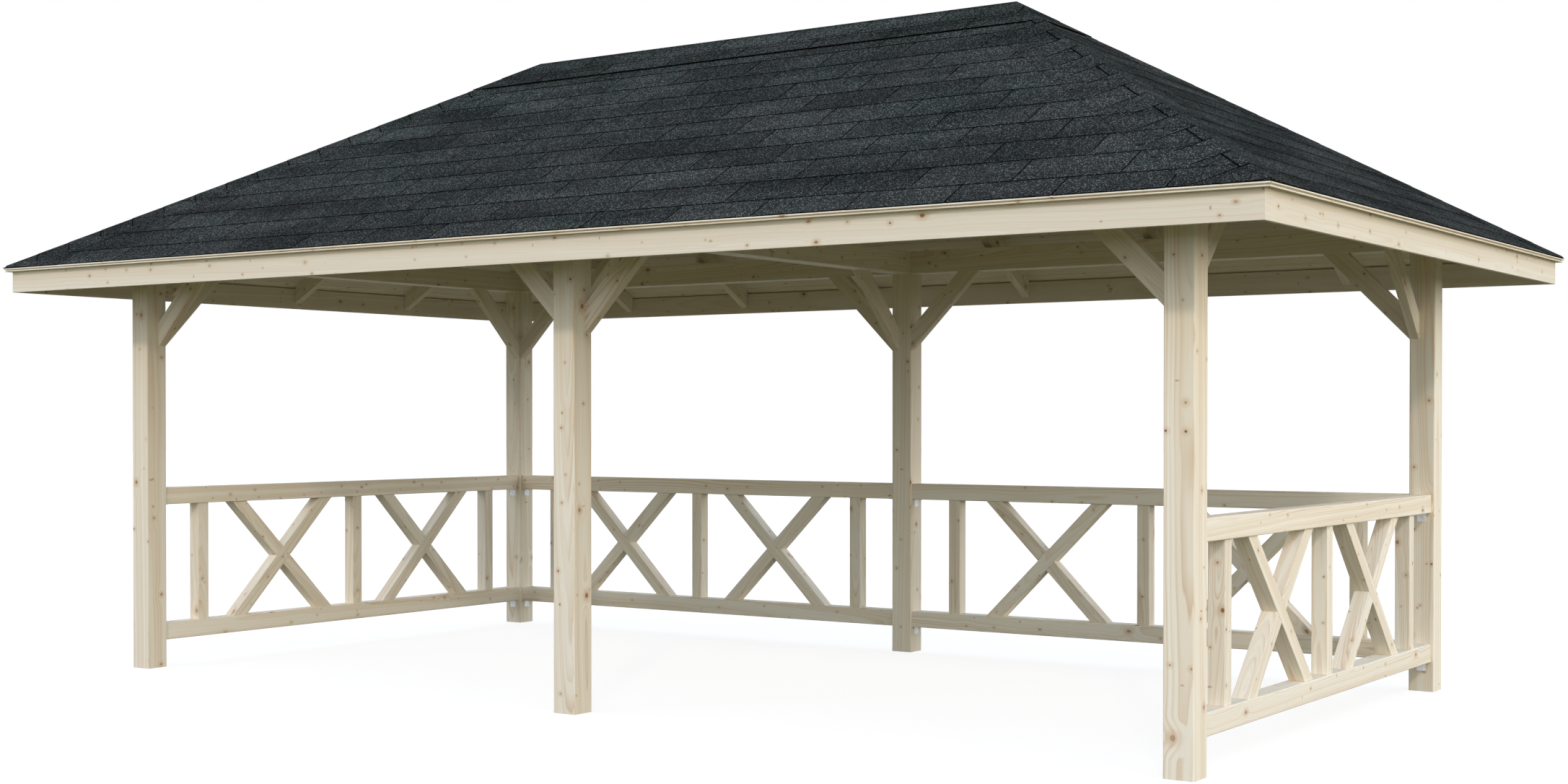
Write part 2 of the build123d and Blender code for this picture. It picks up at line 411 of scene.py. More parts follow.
def pin_knots(graph, face):
    """Small dark knots and the stain round them."""
    offset, chance, other = knot_field(graph, face, pin_cell, pin_shift)
    radius = graph.span(other, 0.0, 1.0, *pin_radii, smooth=False)
    distance = graph.vector("LENGTH", graph.stretch(offset, pin_squeeze))
    ratio = graph.math("DIVIDE", distance, radius)
    there = graph.math("GREATER_THAN", chance, pin_chance)
    strength = graph.span(chance, *pin_strength_chances, *pin_strengths)
    core = graph.product(graph.span(ratio, *pin_edge_shares), there, strength)
    halo = graph.product(graph.span(ratio, *pin_halo_shares), there)
    return core, halo


def spike_knots(graph, face):
    """Knots that lie across the grain."""
    offset, chance, other = knot_field(graph, face, spike_cell, spike_shift)
    shape = graph.stretch(offset, (1 / spike_reach[0], 1 / spike_reach[1], 0.0))
    size = graph.span(other, 0.0, 1.0, *spike_size_shares, smooth=False)
    ratio = graph.math("DIVIDE", graph.vector("LENGTH", shape), size)
    there = graph.math("GREATER_THAN", chance, spike_chance)
    return graph.product(graph.span(ratio, *spike_edge_shares), there)


def year_rings(graph, grain, tone, figure, swell):
    """Rings round each timber's own pith: bands of stronger and weaker years, and lines of late wood."""
    bend = graph.noise(graph.stretch(grain, bend_pace), detail=bend_detail, output=1)
    shift = graph.stretch(graph.vector("SUBTRACT", bend, bend_middle), bend_reach)
    radius = graph.vector("LENGTH", graph.stretch(graph.vector("ADD", grain, shift), ring_plane))
    radius = graph.math("ADD", radius, graph.product(swell, knot_swell))
    wander = graph.noise(graph.stretch(grain, wander_pace), detail=ring_detail)
    radius = graph.math("ADD", radius, graph.product(wander, wander_reach))
    latewood = graph.ramp(graph.math("FRACT", graph.math("DIVIDE", radius, ring_width)), ring_stops)
    years = graph.noise(graph.stretch(graph.join(radius, tone, 0.0), year_pace), detail=ring_detail)
    band = graph.span(years, *year_levels)
    patches = graph.noise(graph.stretch(grain, clarity_pace), detail=ring_detail)
    clarity = graph.product(graph.span(patches, *clarity_levels, *clarities),
                            graph.span(band, 0.0, 1.0, *year_clarities))
    return band, graph.product(latewood, clarity, figure)


def spruce_material():
    """Planed spruce: year rings, fibre streaks and three kinds of knots."""
    material, graph = new_material("planed_spruce")
    grain = graph.attribute("grain", "Vector")
    tone = graph.attribute("tone", "Fac")
    figure = graph.attribute("figure", "Fac")
    face = graph.node("ShaderNodeUVMap", uv_map="face").outputs[0]
    knot, knot_halo, swell = round_knots(graph, face)
    pin, pin_halo = pin_knots(graph, face)
    spike = spike_knots(graph, face)
    band, ring_line = year_rings(graph, grain, tone, figure, swell)
    fibre = graph.noise(graph.stretch(grain, fibre_pace))
    colour = graph.layered(wood_pale, (
        (graph.product(band, year_strength), wood_warm),
        (ring_line, wood_late),
        (graph.span(fibre, *fibre_levels, *fibre_strengths), wood_fibre),
        (graph.product(knot_halo, knot_halo_strength), knot_halo_colour),
        (knot, knot_colour),
        (graph.product(spike, spike_strength), spike_colour),
        (graph.product(pin_halo, pin_halo_strength), pin_halo_colour),
        (pin, pin_colour),
    ))
    colour = graph.shaded(colour, tone)
    height = graph.math("SUBTRACT", graph.math("SUBTRACT", fibre, ring_line), knot)
    roughness = graph.span(ring_line, 0.0, 1.0, *wood_roughness, smooth=False)
    bump = graph.bump(height, *wood_bump)
    graph.surface(graph.principled(colour, roughness, bump, Specular_IOR_Level=wood_gloss))
    return material


# Shingles' granules: noises and flecks to the metre, and the levels between which each of them takes effect
cloud_pace = 2.2
cloud_levels = (0.36, 0.64)
patch_pace = 7.0
patch_levels = (0.42, 0.75)
patch_strengths = (0.0, 0.7)
cloud_detail = 3.0
grit_pace = 150.0
grit_levels = (0.34, 0.62)
grit_strengths = (0.55, 1.0)
fleck_pace = 235.0
fleck_chances = (0.5, 1.0)
fleck_edge_shares = (0.8, 0.25)
streak_pace = (1.2, 11.0, 5.0)
streak_detail = 4.0
streak_levels = (0.3, 0.7)
streak_tones = (0.77, 1.25)
hue_strength = 0.3
green_lift = 0.1

# Painted shade in a band just below each course's edge, as a share of a course, wider and fainter on the end
# slopes
shade_band_share = 0.075
shade_band_strength = 0.72
end_shade_band_share = 0.5
end_shade_band_strength = 0.2

# Shingles' colours and surface
slate_grey = (0.0228, 0.0245, 0.0234, 1)
slate_green = (0.0150, 0.0203, 0.0166, 1)
slate_patch = (0.0285, 0.0305, 0.0288, 1)
slate_hue = (0.0150, 0.0200, 0.0157, 1)
slate_pit = (0.0035, 0.0035, 0.0044, 1)
fleck_colour = (0.200, 0.209, 0.194, 1)
shade_band_colour = (0.001, 0.001, 0.001, 1)
slate_rough_levels = (0.3, 0.7)
slate_roughness = (0.95, 0.85)
slate_bump = (0.5, 0.001)
slate_gloss = 0.0


def pale_flecks(graph, place):
    """Pale granules scattered among the dark ones."""
    cells = graph.cells(place, fleck_pace)
    chance = graph.span(graph.chances(cells)[0], *fleck_chances, smooth=False)
    return graph.product(chance, chance, graph.span(cells["Distance"], *fleck_edge_shares))


def course_marks(graph, place, normal):
    """Streaks along the courses and a band of painted shade just below their edges, whichever way the slope
    faces.
    """
    facing = graph.parts(normal)
    on_end = graph.math("GREATER_THAN", graph.math("ABSOLUTE", facing[0]), graph.math("ABSOLUTE", facing[1]))
    spot = graph.parts(place)
    course = graph.join(graph.either(on_end, spot[0], spot[1]), spot[2], on_end)
    streak = graph.noise(graph.stretch(course, streak_pace), detail=streak_detail)
    up = graph.math("DIVIDE", graph.math("SUBTRACT", spot[2], first_course_height), exposure * pitch_sin)
    start = graph.either(on_end, 1 - shade_band_share, 1 - end_shade_band_share)
    # painted shade: darker just below the edge of the course above
    shade_band = graph.span(graph.math("FRACT", up), start, 1.0)
    return streak, graph.product(shade_band, graph.either(on_end, shade_band_strength, end_shade_band_strength))


def slate_colour(graph, place, hue):
    """Clouded slate greys, greener towards the ridge."""
    cloud = graph.noise(place, cloud_pace, cloud_detail)
    patch = graph.noise(place, patch_pace, cloud_detail)
    lift = graph.span(graph.parts(place)[2], fascia_top, cad_box[1].z, -green_lift, green_lift, smooth=False)
    return graph.layered(slate_grey, (
        (graph.span(graph.math("ADD", cloud, lift), *cloud_levels), slate_green),
        (graph.span(patch, *patch_levels, *patch_strengths), slate_patch),
        (graph.product(hue, hue_strength), slate_hue),
    ))


def shingle_material():
    """Bitumen shingle: dark slate granules with pale flecks, streaked and clouded."""
    material, graph = new_material("bitumen_shingle")
    coordinates = graph.node("ShaderNodeTexCoord").outputs
    place = coordinates["Object"]
    slate = slate_colour(graph, place, graph.attribute("hue", "Fac"))
    grit = graph.noise(place, grit_pace)
    fleck = pale_flecks(graph, place)
    streak, shade_band = course_marks(graph, place, coordinates["Normal"])
    colour = graph.mix(graph.span(grit, *grit_levels, *grit_strengths), slate_pit, slate)
    colour = graph.mix(fleck, colour, fleck_colour)
    colour = graph.shaded(colour, graph.span(streak, *streak_levels, *streak_tones))
    # the band is painted shade under each course's edge; the tone holds each tab's own tone and the end
    # slopes' painted shade
    colour = graph.shaded(graph.mix(shade_band, colour, shade_band_colour), graph.attribute("tone", "Fac"))
    roughness = graph.span(grit, *slate_rough_levels, *slate_roughness)
    bump = graph.bump(graph.math("ADD", grit, fleck), *slate_bump)
    graph.surface(graph.principled(colour, roughness, bump, Specular_IOR_Level=slate_gloss))
    return material


# Zinc on the brackets and their screws
spangle_pace = 240.0
smear_pace = 60.0
smear_detail = 3.0
smear_levels = (0.45, 0.75)
smear_strengths = (0.0, 0.35)
zinc_dull = (0.80, 0.83, 0.86, 1)
zinc_bright = (0.88, 0.90, 0.92, 1)
zinc_smear = (0.60, 0.64, 0.68, 1)
zinc_rough_levels = (0.3, 0.7)
zinc_roughness = (0.38, 0.55)
zinc_bump = (0.1, 0.0002)
zinc_metal = 0.3


def zinc_material():
    """Galvanised steel with a faint spangle."""
    material, graph = new_material("galvanised_steel")
    place = graph.node("ShaderNodeTexCoord").outputs["Object"]
    spangle = graph.chances(graph.cells(place, spangle_pace))[0]
    smear = graph.noise(place, smear_pace, smear_detail)
    colour = graph.mix(spangle, zinc_dull, zinc_bright)
    colour = graph.mix(graph.span(smear, *smear_levels, *smear_strengths), colour, zinc_smear)
    roughness = graph.span(smear, *zinc_rough_levels, *zinc_roughness)
    bump = graph.bump(spangle, *zinc_bump)
    graph.surface(graph.principled(colour, roughness, bump, Metallic=zinc_metal))
    return material


def seen_by_eye(graph):
    """One for rays that show the background, also by gloss or glass, and zero for those that light things."""
    path = graph.node("ShaderNodeLightPath").outputs
    clear = graph.math("MAXIMUM", path["Is Glossy Ray"], path["Is Transmission Ray"])
    return graph.math("MAXIMUM", path["Is Camera Ray"], clear)


def floor_material():
    """Plain white floor that keeps a soft shadow and gives the timber a dim, warm bounce."""
    material, graph = new_material("studio_floor")
    seen = seen_by_eye(graph)
    glow = graph.node("ShaderNodeEmission", {"Color": studio_white, "Strength": floor_glow}).outputs[0]
    grey = (floor_seen_grey, floor_seen_grey, floor_seen_grey, 1)
    plain = graph.node("ShaderNodeBsdfDiffuse", {"Color": grey}).outputs[0]
    shown = graph.node("ShaderNodeAddShader", {0: glow, 1: plain}).outputs[0]
    bounce = graph.node("ShaderNodeBsdfDiffuse", {"Color": floor_bounce}).outputs[0]
    graph.surface(graph.node("ShaderNodeMixShader", {0: seen, 1: bounce, 2: shown}).outputs[0])
    return material


def add_piece(name, mesh, material, slot, *nodes):
    """Puts a finished mesh in the scene, riding on the one body, in place of the named CAD nodes."""
    mesh.materials.append(material)
    piece = bpy.data.objects.new(name, mesh)
    bpy.context.scene.collection.objects.link(piece)
    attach(piece, "root")
    if nodes:
        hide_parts(*nodes)


def face_values(mesh, label, values):
    """Gives each face of a mesh a number that its material reads."""
    mesh.attributes.new(label, "FLOAT", "FACE").data.foreach_set("value", values)


def centre_of(points):
    """The middle of some points."""
    return sum(points, Vector((0, 0, 0))) / len(points)


def rectangle(left, right, low, high):
    """Corners of a rectangle, in order."""
    return (left, low), (right, low), (right, high), (left, high)


def ring_faces(count):
    """Faces of a solid between two like rings of points: its two ends, then its sides."""
    ends = [list(range(count))[::-1], list(range(count, 2 * count))]
    pairs = [(place, (place + 1) % count) for place in range(count)]
    return ends + [[place, after, count + after, count + place] for place, after in pairs]


def solids_of(node):
    """The separate solids of a CAD node, each as its points and its flat faces."""
    whole = bmesh.new()
    whole.from_mesh(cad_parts[node].data)
    bmesh.ops.remove_doubles(whole, verts=whole.verts, dist=weld_distance)
    bmesh.ops.dissolve_limit(whole, angle_limit=flat_angle, verts=whole.verts, edges=whole.edges)
    whole.verts.index_update()
    found = []
    waiting = set(whole.verts)
    while waiting:
        group = set()
        front = [next(iter(waiting))]
        while front:
            vertex = front.pop()
            if vertex not in group:
                group.add(vertex)
                front.extend(edge.other_vert(vertex) for edge in vertex.link_edges)
        waiting -= group
        ordered = sorted(group, key=lambda vertex: vertex.index)
        number = {vertex: place for place, vertex in enumerate(ordered)}
        points = [vertex.co.copy() for vertex in ordered]
        faces = [[number[vertex] for vertex in face.verts] for face in whole.faces if face.verts[0] in group]
        found.append((points, faces))
    whole.free()
    return sorted(found, key=lambda solid: [round(value, sort_digits) for value in centre_of(solid[0])])


def prism(outline, depth):
    """A solid from a flat outline, pushed along depth."""
    return list(outline) + [point + depth for point in outline], ring_faces(len(outline))


def eased(solid, width):
    """A solid with its arrises rounded."""
    points, faces = solid
    made = bmesh.new()
    vertices = [made.verts.new(point) for point in points]
    for face in faces:
        made.faces.new([vertices[place] for place in face])
    bmesh.ops.recalc_face_normals(made, faces=made.faces)
    sharp = [edge for edge in made.edges if edge.calc_face_angle(0.0) > sharp_angle]
    bmesh.ops.bevel(made, geom=sharp, offset=width, segments=arris_segments, profile=arris_profile,
                    affect="EDGES", clamp_overlap=True)
    made.verts.index_update()
    points = [vertex.co.copy() for vertex in made.verts]
    faces = [[vertex.index for vertex in face.verts] for face in made.faces]
    made.free()
    return points, faces


def longest_axis(points):
    """The direction in which a solid is longest."""
    table = np.array([tuple(point) for point in points])
    axis = Vector(np.linalg.svd(table - table.mean(axis=0), full_matrices=False)[2][0])
    return -axis if axis.x + axis.y + axis.z < 0 else axis


def along_axes(points, axis):
    """A timber's points, measured from its middle along its axis and across it."""
    across = axis.orthogonal() if abs(axis.z) > upright_share else axis.cross(straight_up)
    across.normalize()
    third = axis.cross(across)
    middle = centre_of(points)
    away = [point - middle for point in points]
    return [Vector((place.dot(axis), place.dot(across), place.dot(third))) for place in away]


def pith_place(chance):
    """A timber's place in its tree: a start along the trunk, and its middle's way from the pith."""
    angle = chance.uniform(0, 2 * math.pi)
    pith = chance.uniform(pith_near, pith_far)
    return Vector((chance.uniform(0, seed_spread), pith * math.cos(angle), pith * math.sin(angle)))


def grain_lean(local, chance):
    """How far the grain runs sideways for each metre along a timber."""
    length = max(place.x for place in local) - min(place.x for place in local)
    steepness = max(grain_run_out / length, grain_lean_share)
    return Vector((0, chance.uniform(-1, 1), chance.uniform(-1, 1))) * steepness


def face_place(corners):
    """The two axes that lay out a face's knots, and the side of its timber that it belongs to."""
    normal = Vector((0, 0, 0))
    for place in range(1, len(corners) - 1):
        normal += (corners[place] - corners[0]).cross(corners[place + 1] - corners[0])
    facing = max(range(3), key=lambda place: abs(normal[place]))
    axes = ((1, 2), (0, 2), (0, 1))[facing]
    return axes, (facing, normal[facing] > 0)


def timber_mesh(name, timbers, looks=timber_looks):
    """One mesh of several timbers, each a solid and its axis, with a grain, a pith and a tone of its own."""
    chance = random.Random(name)
    tones, figures = looks
    points, faces, grain, face_looks, places = [], [], [], [], []
    for (solid_points, solid_faces), axis in timbers:
        start = pith_place(chance)
        look = (chance.uniform(*tones), chance.uniform(*figures))
        local = along_axes(solid_points, axis or longest_axis(solid_points))
        lean = grain_lean(local, chance)
        grain.extend(place + lean * place.x + start for place in local)
        sides = {}
        for face in solid_faces:
            corners = [local[place] for place in face]
            (first, second), side = face_place(corners)
            if side not in sides:
                sides[side] = (chance.uniform(0, seed_spread), chance.uniform(0, seed_spread))
            shift = sides[side]
            places.extend((corner[first] + shift[0], corner[second] + shift[1]) for corner in corners)
            faces.append([len(points) + place for place in face])
            face_looks.append(look)
        points.extend(solid_points)
    mesh = bpy.data.meshes.new(name)
    mesh.from_pydata(points, [], faces)
    layer = mesh.attributes.new("grain", "FLOAT_VECTOR", "POINT")
    layer.data.foreach_set("vector", [value for place in grain for value in place])
    for label, values in zip(("tone", "figure"), zip(*face_looks)):
        face_values(mesh, label, values)
    layer = mesh.uv_layers.new(name="face")
    layer.data.foreach_set("uv", [value for place in places for value in place])
    return mesh


def dress_timber(node, looks=timber_looks, ease=0):
    """Replaces a CAD timber node by the same solids with grain, their arrises rounded where ease is given."""
    solids = solids_of(node)
    if ease:
        solids = [eased(solid, ease) for solid in solids]
    mesh = timber_mesh(node + "_timber", [(solid, None) for solid in solids], looks)
    add_piece(node + "_timber", mesh, spruce, "timber", node)


def dress_infill(panel, run_place, lean):
    """Balusters and crosses of one railing panel. One diagonal runs through between the other's halves."""
    node = f"railing_{panel}_infill"
    low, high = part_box(f"railing_{panel}_rails")
    middle = (low + high) / 2
    run = Vector((1, 0, 0)) if run_place == 0 else Vector((0, 1, 0))
    outward = straight_up.cross(run)
    spacing = (high - low)[run_place] * baluster_spacing_share
    rise = (high.z - low.z) / 2 - rail_height
    timbers = []

    def add(place, outline, thickness, axis):
        base = middle + run * place - outward * thickness / 2
        corners = [base + run * along + straight_up * height for along, height in outline]
        timbers.append((eased(prism(corners, outward * thickness), arris), axis.normalized()))

    upright = rectangle(-baluster_side / 2, baluster_side / 2, -rise, rise)
    cut = cross_width / math.sqrt(2)
    meet = cut + joint_gap
    skew = lean * rise
    through = ((-skew - cut, -rise), (-skew + cut, -rise), (skew + cut, rise), (skew - cut, rise))
    lower = ((skew - cut, -rise), (skew + cut, -rise), ((lean * meet + cut) / 2, (lean * cut - meet) / 2),
             ((lean * meet - cut) / 2, -(lean * cut + meet) / 2))
    upper = [(-along, -height) for along, height in lower]
    for place in (-spacing, 0, spacing):
        add(place, upright, baluster_side, straight_up)
    for place in (-spacing / 2, spacing / 2):
        add(place, through, cross_width, run * lean + straight_up)
        add(place, lower, cross_width, straight_up - run * lean)
        add(place, upper, cross_width, straight_up - run * lean)
    add_piece(node + "_timber", timber_mesh(node + "_timber", timbers), spruce, "timber", node)


class Slope:
    """One roof slope: places along its eave, up the slope from the fascia and above the boards' underside."""

    def __init__(self, name, out, eave, ridge_offset):
        self.name = name
        self.out = Vector((out[0], out[1], 0))
        self.along = Vector((-out[1], out[0], 0))
        self.up = Vector((0, 0, pitch_sin)) - self.out * pitch_cos
        self.eave = eave
        self.ridge_offset = ridge_offset
        self.is_long = ridge_offset > 0
        # painted shade: the end slopes' tabs darker and their cut edges lighter
        self.shade, self.edge_share = long_slope_looks if self.is_long else end_slope_painted_looks

    def reach(self, up, lift):
        return self.eave - up * pitch_cos + lift * pitch_sin

    def half_width(self, up, lift):
        return max(self.reach(up, lift) + self.ridge_offset, 0.0)

    def tone(self, chance):
        # each tab's own random tone, times the slope's painted shade
        return chance.uniform(*tab_tones) * self.shade

    def point(self, along, up, lift):
        height = fascia_top + up * pitch_sin + lift * pitch_cos
        return self.out * self.reach(up, lift) + self.along * along + Vector((0, 0, height))


def ridge_up(lift):
    """How far up a slope its ridge or peak lies, at a lift above the boards' underside."""
    return (eave_depth + lift * pitch_sin) / pitch_cos


def lip(low, first, last):
    """A rounded lip along a board's edge, between two lifts."""
    radius = (last - first) / 2
    middle = first + radius
    turns = [math.pi * step / lip_steps for step in range(lip_steps + 1)]
    return [(low + radius - radius * math.sin(turn), middle - radius * math.cos(turn)) for turn in turns]


def board_profile(low, high, number):
    """Outline of one tongue-and-groove board across its length, as places up the slope and lifts."""
    thick = deck_thickness
    groove = [(low + groove_depth, groove_low), (low + groove_depth, groove_high)]
    if number == 0:
        lower = lip(low, 0, groove_low) + groove + lip(low, groove_high, thick)
    else:
        below = [(low + board_chamfer, 0), (low, board_chamfer), (low, groove_low)]
        lower = below + groove + [(low, groove_high), (low, thick)]
    if number == board_count - 1:
        return lower + [(ridge_up(thick) - board_gap, thick), (ridge_up(0) - board_gap, 0)]
    edge = high - board_gap
    tip = edge + tongue_length
    tongue_low = groove_low + tongue_slack
    tongue_high = groove_high - tongue_slack
    tongue = [(edge, tongue_high), (tip, tongue_high), (tip, tongue_low), (edge, tongue_low)]
    return lower + [(edge, thick)] + tongue + [(edge, board_chamfer), (edge - board_chamfer, 0)]


def dress_deck(slope):
    """Tongue-and-groove boards of one slope, level along the eave and mitred at the hips."""
    cover = (ridge_up(0) + deck_overhang) / board_count
    timbers = []
    for number in range(board_count):
        low = number * cover - deck_overhang
        profile = board_profile(low, low + cover, number)
        gap = board_gap if number else eave_mitre_gap
        points = []
        for side in (-1, 1):
            for up, lift in profile:
                points.append(slope.point(side * (slope.half_width(up, lift) - gap), up, lift))
        faces = [face[::-1] for face in ring_faces(len(profile))]
        timbers.append(((points, faces), slope.along))
    node = "roof_deck_" + slope.name
    mesh = timber_mesh(node + "_boards", timbers, deck_looks)
    add_piece(node + "_boards", mesh, spruce, "timber", node)


def clipped(outline, *limits):
    """A convex outline cut by limits, which are functions that aren't negative on the side that is kept."""
    for limit in limits:
        kept = []
        for place, point in enumerate(outline):
            before = outline[place - 1]
            here, last = limit(point), limit(before)
            if here * last < 0:
                share = last / (last - here)
                kept.append(tuple(a + (b - a) * share for a, b in zip(before, point)))
            if here >= 0:
                kept.append(point)
        outline = kept
    return outline if len(outline) > 2 else []


class Sheets:
    """Gathers thin sheets into one mesh, each with a tone and a hue."""

    def __init__(self, name):
        self.name = name
        self.chance = random.Random(name)
        self.points, self.faces, self.tones, self.hues = [], [], [], []

    def add(self, under, over, tone, hue, edge_tones):
        faces = ring_faces(len(under))
        self.faces.extend([len(self.points) + place for place in face] for face in faces)
        self.points.extend(under + over)
        self.tones.extend([tone] * 2 + edge_tones)
        self.hues.extend([hue] * len(faces))

    def finish(self, *nodes):
        mesh = bpy.data.meshes.new(self.name)
        mesh.from_pydata(self.points, [], self.faces)
        face_values(mesh, "tone", self.tones)
        face_values(mesh, "hue", self.hues)
        made = bmesh.new()
        made.from_mesh(mesh)
        bmesh.ops.recalc_face_normals(made, faces=made.faces)
        made.to_mesh(mesh)
        made.free()
        add_piece(self.name, mesh, shingle, "shingle", *nodes)


def slope_sheet(sheets, slope, outline, lifts, tone, hue):
    """Adds a sheet on a slope: its outline, and its under and upper lift at its low and at its high end."""
    low = min(up for along, up in outline)
    high = max(up for along, up in outline)
    (under_low, over_low), (under_high, over_high) = lifts

    def lift_at(up, first, last):
        return first + (last - first) * (up - low) / (high - low)

    def half_at(up):
        return slope.half_width(up, lift_at(up, over_low, over_high))

    kept = clipped(outline, lambda point: half_at(point[1]) - point[0],
                   lambda point: half_at(point[1]) + point[0])
    if kept:
        under = [slope.point(along, up, lift_at(up, under_low, under_high)) for along, up in kept]
        over = [slope.point(along, up, lift_at(up, over_low, over_high)) for along, up in kept]
        sheets.add(under, over, tone, hue, [tone * slope.edge_share] * len(kept))


def tab_places(half, phase):
    """The left and right ends of the tabs of one course, between its slots."""
    first = math.floor((-half - phase) / tab_width)
    last = math.ceil((half - phase) / tab_width)
    for number in range(first, last):
        left = phase + number * tab_width
        yield left + slot_width / 2, left + tab_width - slot_width / 2


def dress_shingles(slope):
    """Underlay and courses of square-cut shingle tabs on one slope."""
    sheets = Sheets("shingle_tabs_" + slope.name)
    chance = sheets.chance
    base_low = shingle_eave + shingle_overhang
    half = slope.half_width(base_low, deck_thickness)
    flat = (deck_thickness + underlay / 2, deck_thickness + underlay)
    base = rectangle(-half, half, base_low, ridge_up(deck_thickness) - underlay)
    # the underlay is painted dark as the shade seen through the slots
    slope_sheet(sheets, slope, base, (flat, flat), underlay_shade_tone, plain_hue)
    seated = (deck_thickness + sheet_seat, deck_thickness + sheet_seat + sheet)
    low = shingle_eave
    number = 0
    while low < ridge_cap_low:
        shown = exposure if number else first_exposure
        high = min(low + shown + course_overlap, ridge_up(deck_thickness) - cap_board_inset)
        for left, right in tab_places(slope.half_width(low, shingle_top), slot_phases[number % 2]):
            drops = [chance.uniform(0, tab_jitter) for corner in range(2)]
            droop = chance.uniform(0, lift_jitter)
            outline = ((left, low + drops[0]), (right, low + drops[1]), (right, high), (left, high))
            lifts = ((deck_thickness + sheet_rise - droop, shingle_top - droop), seated)
            slope_sheet(sheets, slope, outline, lifts, slope.tone(chance), chance.random())
        low += shown
        number += 1
    sheets.finish("shingles_" + slope.name)


class HipWing:
    """One side of a hip: places out from its fold and up along it, on the slope under it."""

    def __init__(self, slope, turn, corner, climb):
        self.slope = slope
        self.corner = corner
        self.climb = climb
        self.across = slope.along * turn * fold_up - slope.up * fold_along

    def point(self, out, up, lift):
        seated = shingle_top + lift * (1 - hip_edge_seat_share * out / hip_cap_half)
        return self.corner + self.climb * up + self.across * out + Vector((0, 0, seated / pitch_cos))

    def outline(self, near, far, low, high):
        eave = shingle_top * math.tan(roof_pitch) - shingle_eave
        return clipped(rectangle(near, far, low, high),
                       lambda point: point[1] * fold_up - point[0] * fold_along + eave)


def cap_rise(up, low):
    """How far the underside of a hip cap stands off the shingles."""
    return hip_cap_rise + (sheet_seat - hip_cap_rise) * (up - low) / (hip_cap_exposure + hip_cap_overlap)


def add_cap(sheets, wing, limits, tone, hue):
    """One hip cap, or a part of one beside its slot, with a dark lower edge and its outer edge seated."""
    low = limits[2]
    kept = wing.outline(*limits)
    under, over, edge_tones = [], [], []
    for place, (out, up) in enumerate(kept):
        rise = cap_rise(up, low)
        under.append(wing.point(out, up, rise - hip_edge_skirt * out / hip_cap_half))
        over.append(wing.point(out, up, rise + sheet))
        after = kept[(place + 1) % len(kept)]
        on_low_edge = max(up, after[1]) < low + sheet
        edge_tones.append(tone * wing.slope.edge_share if on_low_edge else tone)
    if kept:
        sheets.add(under, over, tone, hue, edge_tones)


def add_shade_strip(sheets, wing, limits, low):
    """A thin dark sheet on a hip cap, painted shade in the joint with the next one or in its slot."""
    kept = wing.outline(*limits)
    under = [wing.point(out, up, cap_rise(up, low) + sheet) for out, up in kept]
    over = [wing.point(out, up, cap_rise(up, low) + sheet + shade_strip_height) for out, up in kept]
    if kept:
        sheets.add(under, over, shade_strip_tone, plain_hue, [shade_strip_tone] * len(kept))


def dress_hips(slopes):
    """Caps folded over the four hips, from the eave corners up to the ridge cap."""
    sheets = Sheets("hip_caps")
    chance = sheets.chance
    start = shingle_eave * hip_unit
    end = (ridge_cap_low + hip_top_cover) * hip_unit
    slot_near = hip_slot_place - hip_slot_width / 2
    slot_far = hip_slot_place + hip_slot_width / 2
    for number, slope in enumerate(slopes):
        other = slopes[(number + 1) % len(slopes)]
        corner = slope.out * slope.eave + other.out * other.eave + Vector((0, 0, fascia_top))
        climb = (slope.up * fold_up - slope.along * fold_along).normalized()
        wings = (HipWing(slope, -1, corner, climb), HipWing(other, 1, corner, climb))
        for place in range(math.ceil((end - start) / hip_cap_exposure)):
            low = start + place * hip_cap_exposure
            high = min(low + hip_cap_exposure + hip_cap_overlap, end)
            before = low - hip_cap_exposure
            hue = chance.random()
            for wing in wings:
                tone = wing.slope.tone(chance)
                # painted shade strip in the joint with the cap below
                if place and wing.slope.is_long:
                    add_shade_strip(sheets, wing, (0.0, hip_cap_half, low - shade_strip_width, low), before)
                if place % 2 and wing.slope.is_long:
                    add_cap(sheets, wing, (0.0, slot_near, low, high), tone, hue)
                    add_cap(sheets, wing, (slot_far, hip_cap_half, low, high), tone, hue)
                    # painted shade strip in the slot
                    add_shade_strip(sheets, wing, (slot_near, slot_far, low, low + hip_cap_exposure), before)
                else:
                    add_cap(sheets, wing, (0.0, hip_cap_half, low, high), tone, hue)
    sheets.finish()


def dress_ridge_cap(slopes):
    """Ridge cap: a raised core under two courses of tabs on each slope."""
    sheets = Sheets("ridge_cap_tabs")
    chance = sheets.chance
    core_top = shingle_top + cap_board
    cap_top = shingle_top + ridge_cap_layer
    lower_top = cap_top - cap_sheet
    middle = ridge_cap_low + cap_course
    core_lifts = (shingle_top, core_top)
    courses = (
        (ridge_cap_low, middle + cap_course_overlap, (core_top, lower_top)),
        (middle, ridge_up(cap_top), (lower_top, cap_top)),
    )
    for slope in slopes:
        half = slope.half_width(ridge_cap_low, cap_top)
        core = rectangle(-half, half, ridge_cap_low + cap_board_inset, ridge_up(core_top))
        # the recessed core is painted dark as the shade under the cap's lower edge
        slope_sheet(sheets, slope, core, (core_lifts, core_lifts), underlay_shade_tone, plain_hue)
        for phase, (low, high, lifts) in zip(cap_phases, courses):
            for left, right in tab_places(half, phase):
                outline = rectangle(left, right, low, high)
                slope_sheet(sheets, slope, outline, (lifts, lifts), slope.tone(chance), chance.random())
    sheets.finish("ridge_cap")


